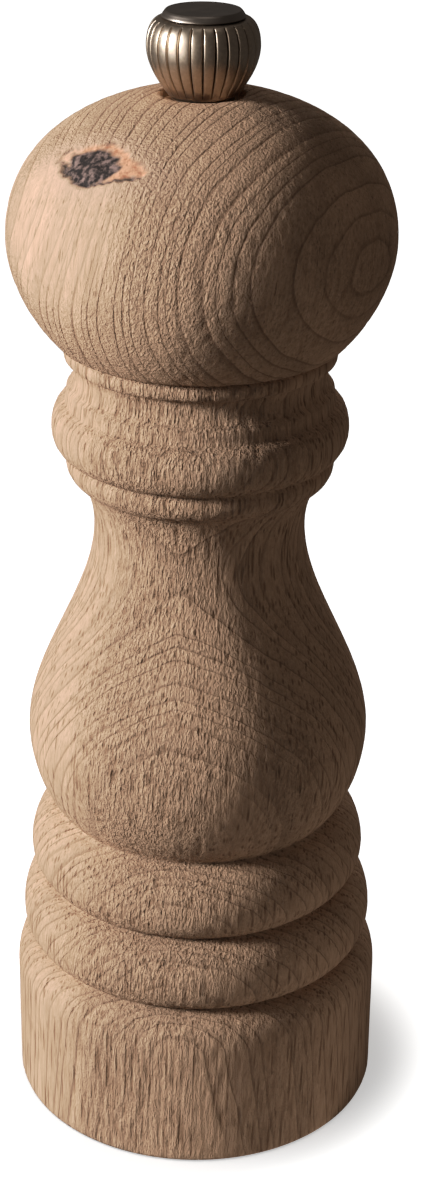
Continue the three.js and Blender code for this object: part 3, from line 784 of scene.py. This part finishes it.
def spring_piece():
    """A round wire wound in five open turns with closed ends."""
    low = SPRING_BOTTOM + WIRE_RADIUS
    high = SPRING_TOP - WIRE_RADIUS
    t = np.linspace(0, 1, SPRING_STEPS + 1)
    angle = t * SPRING_TURNS * TAU
    rise = smoothstep(0.02, 0.98, t) * 0.12 + t * 0.88
    z = low + (high - low) * rise
    around = np.arange(WIRE_SIDES) / WIRE_SIDES * TAU
    rows = []
    for a, height, share in zip(angle, z, t):
        wire = WIRE_RADIUS * min(1.0, 30 * min(share, 1 - share) + 0.15)
        r = SPRING_RADIUS + wire * np.cos(around)
        level = height + wire * np.sin(around)
        rows.append(np.stack([r * math.cos(a), r * math.sin(a), level], axis=1))
    vertices = np.concatenate(rows) * MM
    faces = grid_faces(SPRING_STEPS + 1, WIRE_SIDES, False)
    last = SPRING_STEPS * WIRE_SIDES
    faces.append(tuple(reversed(range(WIRE_SIDES))))
    faces.append(tuple(range(last, last + WIRE_SIDES)))
    piece = new_object("spring_coil", vertices, faces)
    face_outwards(piece)
    return piece


def face_outwards(piece):
    """Turns every face of a closed mesh outwards."""
    shape = bmesh.new()
    shape.from_mesh(piece.data)
    bmesh.ops.recalc_face_normals(shape, faces=shape.faces)
    shape.to_mesh(piece.data)
    shape.free()
    piece.data.shade_smooth()


# ---------------------------------------------------------------- build the pieces

barrel = wood_body("barrel_turned", *barrel_outline(), BARREL_SIDES, barrel_relief)
head = wood_body("head_turned", *head_outline(), HEAD_SIDES, head_relief)
knob = knob_piece()
cap = cap_piece()
shaft = shaft_piece()
spring = spring_piece()

barrel_wood = wood_material(
    "raw_beech",
    line_width=0.1,
    line_strength=0.4,
    torn_scale=(2500, 2500, 700),
    dash_strength=0.8,
    brightness=0.88,
    turn=(0.02, -0.03, 0),
)
head_wood = wood_material(
    "knotty_beech",
    line_width=0.09,
    line_strength=0.78,
    torn_scale=(2700, 2700, 1500),
    dash_strength=0.2,
    brightness=1.0,
    turn=(0.1, -0.16, 0),
)

knob_metal, knob_tree, knob_shader = metal_material("dark_nickel", DARK_NICKEL, 0.36, (2200, 2200, 2200))
knob_colour = knob_shader.inputs["Base Color"].links[0].from_socket
# The grooves' bottoms are darkened: dirt together with painted shade.
grooves = calc(knob_tree, "MULTIPLY", attribute(knob_tree, "groove"), 0.9)
darkened = mixed(knob_tree, grooves, knob_colour, GROOVE_DIRT_AND_SHADE)
knob_tree.links.new(darkened, knob_shader.inputs["Base Color"])

cap_metal, cap_tree, cap_shader = metal_material("satin_nickel", SATIN_NICKEL, 0.34, (400, 400, 400))
across_cap = object_point(cap_tree, (1, 1, 0))
radial = add(cap_tree, "ShaderNodeVectorMath", {0: across_cap}, operation="LENGTH").outputs["Value"]
rings = calc(cap_tree, "SINE", calc(cap_tree, "MULTIPLY", radial, TAU / TURNED_LINE_PITCH))
cap_tree.links.new(bump(cap_tree, rings, TURNED_LINE_BUMP, 0.5), cap_shader.inputs["Normal"])

steel = metal_material("drawn_steel", DRAWN_STEEL, 0.3, (4000, 4000, 200))[0]
hard_steel = metal_material("hardened_steel", HARD_STEEL, 0.42, (1800, 1800, 1800), 0.2)[0]
zinc = metal_material("zinc_plate", ZINC, 0.34, (700, 700, 700), 0.25)[0]

SLOT_MATERIALS = {
    "barrel_wood": barrel_wood,
    "head_wood": head_wood,
    "knob_metal": knob_metal,
    "cap_metal": cap_metal,
    "steel": steel,
    "hardened_steel": hard_steel,
    "zinc_plate": zinc,
}


def dress(piece, slot):
    """Gives a piece its slot's material alone."""
    piece.data.materials.clear()
    piece.data.materials.append(SLOT_MATERIALS[slot])


def stand_for(piece, slot, body, *replaced):
    """Puts a finished piece in the place of CAD nodes. With no body, the piece is left unattached."""
    dress(piece, slot)
    if body:
        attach(piece, body)
    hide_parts(*replaced)


stand_for(barrel, "barrel_wood", "stand", "barrel")
stand_for(head, "head_wood", "head_set", "head")
stand_for(knob, "knob_metal", "knob_set", "knob")
stand_for(cap, "cap_metal", "knob_set", "knob_cap")
stand_for(shaft, "steel", "shaft_set", "drive_shaft")
stand_for(spring, "steel", None, "adjusting_spring")
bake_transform(spring)

for entry in frame["record"]["subparts"]:
    dress(nodes[entry["node"]], entry["material_slot"])

# ---------------------------------------------------------------- stage, lights and camera


FLOOR_SIZE = 6.0
FLOOR_DROP = 0.0001
# The floor glows less within a ring round the foot: a painted contact shadow.
PAINTED_SHADOW_START = 0.0305
PAINTED_SHADOW_END = 0.044
PAINTED_SHADOW_GLOW = 0.52
FLOOR_GLOW_RISE = 0.9
NEUTRAL = (1.0, 1.0, 1.0)
KEY_WHITE = (1.0, 0.99, 0.98)
WOOD_BOUNCE = (1.0, 0.94, 0.87)
SOFTBOX_WHITE = (1.0, 0.95, 0.89)
OVERHEAD_WHITE = (1.0, 0.95, 0.9)
KNOB_TARGET = (0, 0, 0.17)


def plane(name, size, height):
    """A level square."""
    half = size / 2
    corners = [(-half, -half, height), (half, -half, height), (half, half, height), (-half, half, height)]
    mesh = bpy.data.meshes.new(name)
    mesh.from_pydata(corners, [], [(0, 1, 2, 3)])
    made = bpy.data.objects.new(name, mesh)
    bpy.context.scene.collection.objects.link(made)
    return made


floor = plane("floor", FLOOR_SIZE, -FLOOR_DROP)
paper, paper_tree, paper_shader = new_material("white_paper", Roughness=0.9, Specular_IOR_Level=0.1)
paper_shader.inputs["Base Color"].default_value = colour_of(0.85, 0.85, 0.85)
paper_shader.inputs["Emission Color"].default_value = colour_of(1, 0.995, 0.985)
# Painted shadow: the glow is dimmer close to the foot and rises to full white further out.
across_floor = object_point(paper_tree, (1, 1, 0))
from_foot = add(paper_tree, "ShaderNodeVectorMath", {0: across_floor}, operation="LENGTH").outputs["Value"]
past_painted_shadow = step_between(paper_tree, from_foot, PAINTED_SHADOW_START, PAINTED_SHADOW_END)
glow = calc(paper_tree, "MULTIPLY_ADD", past_painted_shadow, FLOOR_GLOW_RISE, PAINTED_SHADOW_GLOW)
paper_tree.links.new(glow, paper_shader.inputs["Emission Strength"])
floor.data.materials.append(paper)
floor.visible_diffuse = False
floor.visible_glossy = False


def area_light(name, azimuth, elevation, distance, size, power, colour, target=(0, 0, 0.09)):
    """A square light. Azimuth is in degrees from the front, negative to the left."""
    a = math.radians(azimuth)
    e = math.radians(elevation)
    away = Vector((math.sin(a) * math.cos(e), -math.cos(a) * math.cos(e), math.sin(e)))
    lamp = bpy.data.lights.new(name, "AREA")
    lamp.size = size
    lamp.energy = power
    lamp.color = colour
    made = bpy.data.objects.new(name, lamp)
    made.location = Vector(target) + away * distance
    made.rotation_euler = away.to_track_quat("Z", "Y").to_euler()
    bpy.context.scene.collection.objects.link(made)
    return made


def link_floor(lamp, state):
    """Lets a lamp light the floor alone, or everything but the floor."""
    receivers = bpy.data.collections.new(lamp.name + "_receivers")
    receivers.objects.link(floor)
    receivers.collection_objects[0].light_linking.link_state = state
    lamp.light_linking.receiver_collection = receivers


key = area_light("key", azimuth=-75, elevation=21, distance=0.9, size=0.2, power=14.5, colour=KEY_WHITE)
link_floor(key, "EXCLUDE")
back_fill = area_light(
    "back_fill", azimuth=175, elevation=3, distance=0.9, size=0.5, power=5, colour=KEY_WHITE,
)
back_fill.visible_glossy = False
link_floor(back_fill, "EXCLUDE")
floor_key = area_light(
    "floor_key", azimuth=-62, elevation=55, distance=0.8, size=0.6, power=7, colour=NEUTRAL, target=(0, 0, 0),
)
link_floor(floor_key, "INCLUDE")
low_fill = area_light(
    "low_fill", azimuth=62, elevation=4, distance=0.9, size=0.6, power=0.3, colour=WOOD_BOUNCE,
    target=(0, 0, 0.03),
)
low_fill.visible_glossy = False
bounce = area_light(
    "floor_bounce", azimuth=0, elevation=90, distance=0.0002, size=0.12, power=0.018, colour=WOOD_BOUNCE,
    target=(0.05, -0.08, 0),
)
bounce.rotation_euler = (math.pi, 0, 0)
bounce.visible_camera = False
bounce.visible_glossy = False
softbox = area_light(
    "softbox", azimuth=-57, elevation=8, distance=0.55, size=0.5, power=2.2, colour=SOFTBOX_WHITE,
    target=KNOB_TARGET,
)
softbox.visible_diffuse = False
overhead = area_light(
    "overhead", azimuth=0, elevation=84, distance=0.7, size=0.4, power=0.2, colour=OVERHEAD_WHITE,
    target=KNOB_TARGET,
)
overhead.visible_diffuse = False

ROOM_GREY = colour_of(0.066, 0.06, 0.055)
BACKDROP_WHITE = colour_of(1.4, 1.4, 1.4)
world = bpy.data.worlds.new("studio")
world.use_nodes = True
world_tree = world.node_tree
background = world_tree.nodes["Background"]
seen = add(world_tree, "ShaderNodeLightPath", {}).outputs["Is Camera Ray"]
world_colour = mixed(world_tree, seen, ROOM_GREY, BACKDROP_WHITE)
world_tree.links.new(world_colour, background.inputs["Color"])
bpy.context.scene.world = world

SENSOR_SIZE = 36
FOCAL_PIXELS = 2352.4
IMAGE_HEIGHT = 1200
CAMERA_PLACE = (0.002, -0.3367, 0.2481)
PITCH = math.radians(25.54)
ROLL = math.radians(0.62)
camera_data = bpy.data.cameras.new("camera")
camera_data.sensor_width = SENSOR_SIZE
camera_data.lens = FOCAL_PIXELS / IMAGE_HEIGHT * SENSOR_SIZE
camera_data.clip_start = 0.01
camera = bpy.data.objects.new("camera", camera_data)
camera.matrix_world = (
    Matrix.Translation(CAMERA_PLACE)
    @ Matrix.Rotation(math.pi / 2 - PITCH, 4, "X")
    @ Matrix.Rotation(ROLL, 4, "Z")
)
bpy.context.scene.collection.objects.link(camera)
bpy.context.scene.camera = camera

# Bright tones are eased down and anything past the white level is white.
WHITE_LEVEL = 1.3
SHOULDER = [(0.2, 0.2), (0.45, 0.44), (0.85, 0.7)]
view = bpy.context.scene.view_settings
view.view_transform = "Standard"
view.use_curve_mapping = True
view.curve_mapping.white_level = (WHITE_LEVEL, WHITE_LEVEL, WHITE_LEVEL)
all_colours = view.curve_mapping.curves[3]
for light_in, shown in SHOULDER:
    all_colours.points.new(light_in / WHITE_LEVEL, shown)
view.curve_mapping.update()
